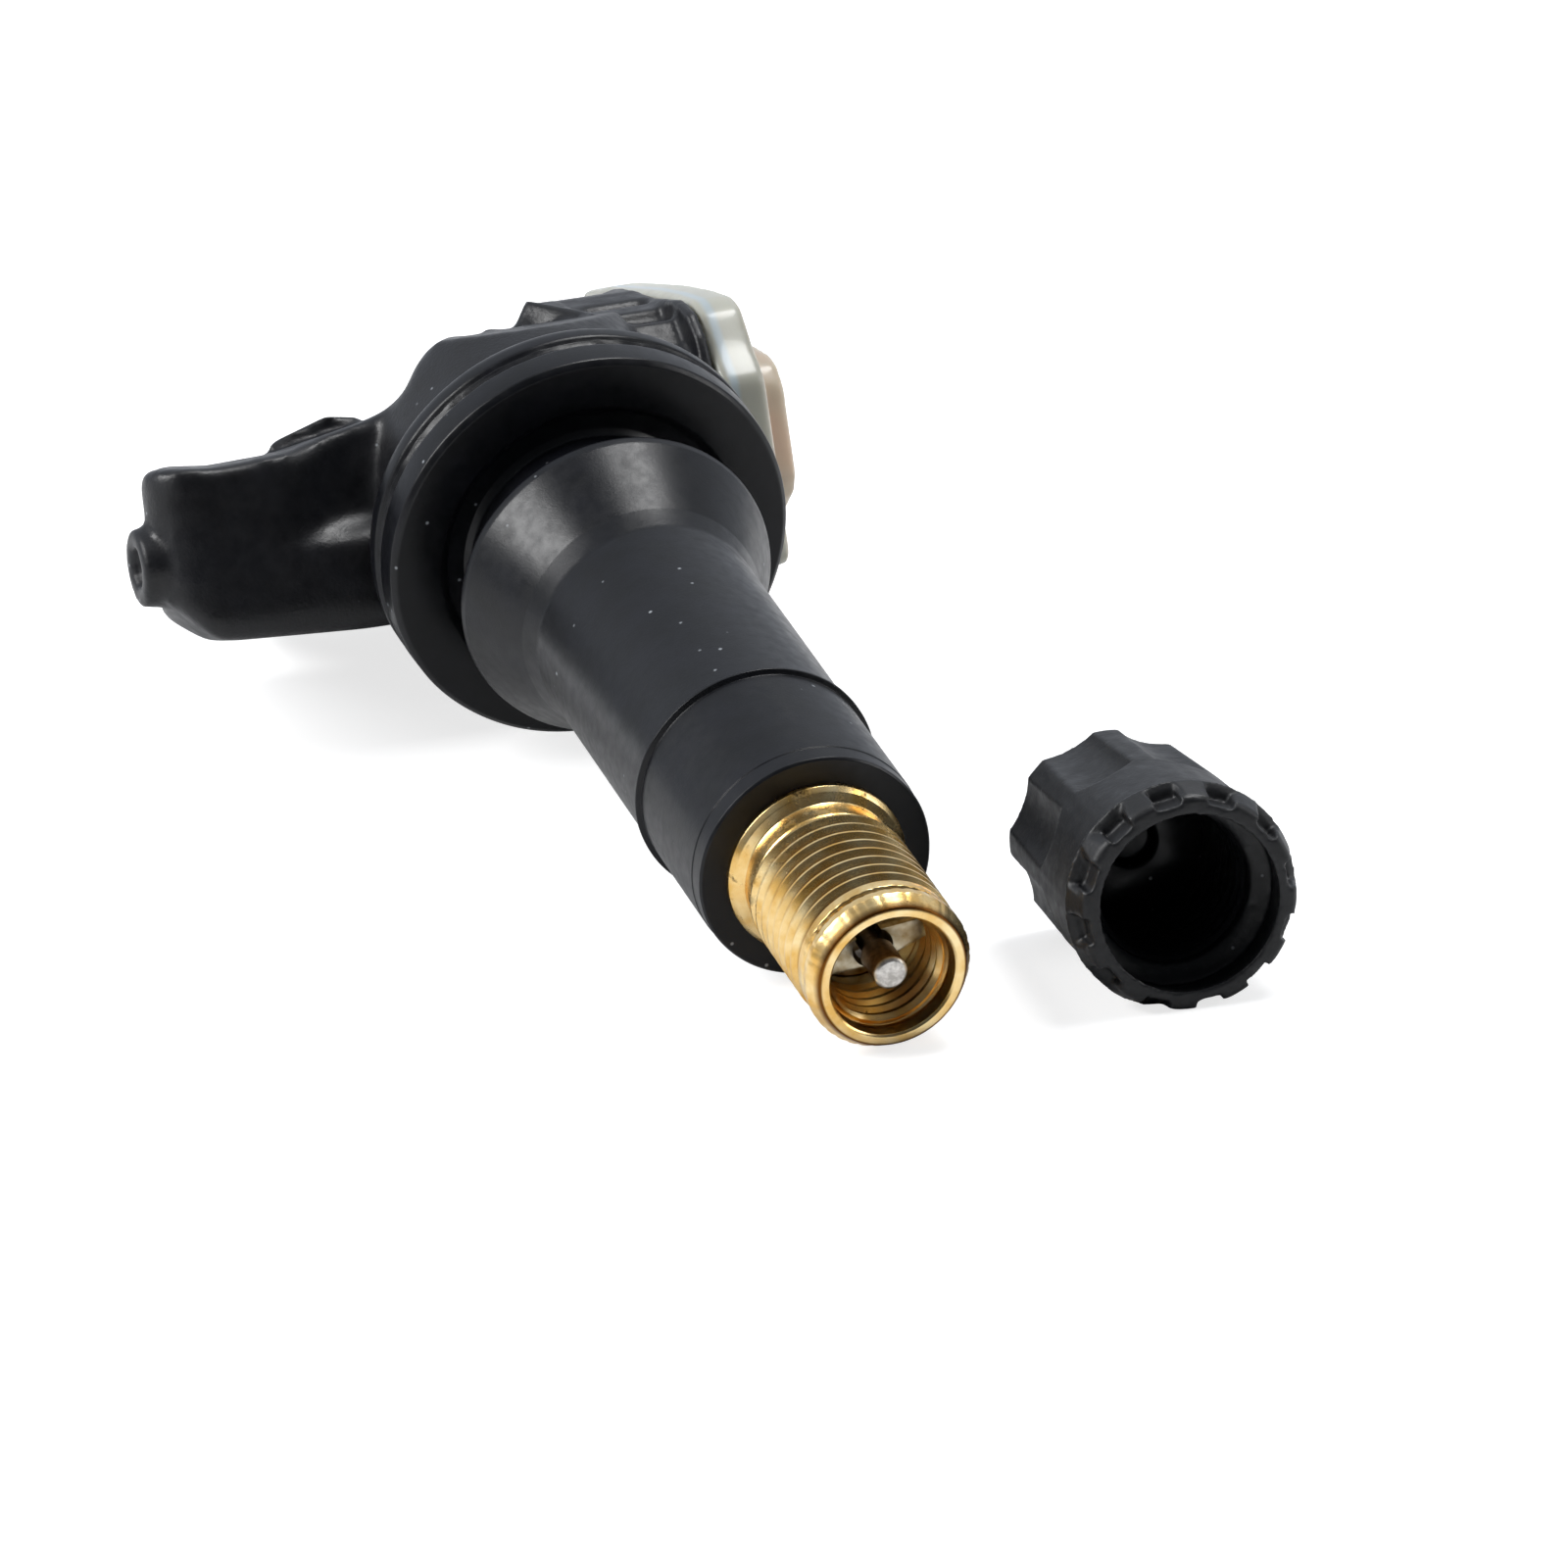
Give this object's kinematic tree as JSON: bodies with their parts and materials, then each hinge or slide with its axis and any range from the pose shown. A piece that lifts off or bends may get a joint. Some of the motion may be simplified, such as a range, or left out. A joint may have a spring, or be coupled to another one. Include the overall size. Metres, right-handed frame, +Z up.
{
  "type": "tyre pressure sensor",
  "caption": "Snap-in rubber valve stem with a tyre pressure sensor housing at its root and its screw cap lying beside it.",
  "frame": {"origin": "on the stem's axis, in the plane of the flange's front face, which seats inside the rim", "axes": "-Y along the stem towards its mouth, +X right along the housing, +Z up"},
  "size_m": [0.0388, 0.0719, 0.0235],
  "materials": {
    "rubber": "satin moulded",
    "brass": "turned",
    "core_brass": "turned",
    "core_pin": "turned",
    "gasket": "smooth",
    "steel": "smooth",
    "housing": "moulded",
    "cap_plastic": "fine grain",
    "cover": "milky",
    "board": "coated",
    "chip": "moulded",
    "ceramic": "fired",
    "copper": "enamelled wire"
  },
  "bodies": {
    "sensor": {"rubber_stem": "rubber", "brass_stem": "brass", "core_plug": "core_brass", "core_barrel": "core_brass", "core_gasket": "gasket", "core_spring": "steel", "valve_cap": "cap_plastic", "cap_seal": "rubber", "housing": "housing", "cover": "cover", "stem_screw": "steel", "circuit_board": "board", "battery": "steel", "battery_tab_top": "steel", "battery_tab_bottom": "steel", "pressure_chip": "chip", "filter_disc": "gasket", "receiver_coil": "copper", "antenna": "copper", "crystal": "steel", "capacitors": "ceramic"},
    "valve_pin": {"core_pin": "core_pin", "core_cup": "core_brass", "core_cup_seal": "rubber"}
  },
  "joints": [
    {"name": "pin_press", "type": "slide", "parent": "sensor", "child": "valve_pin", "axis": [0, 1, 0], "range_m": [0, 0.0014], "stiffness_N_per_m": 500, "deforming": ["core_spring"]}
  ]
}
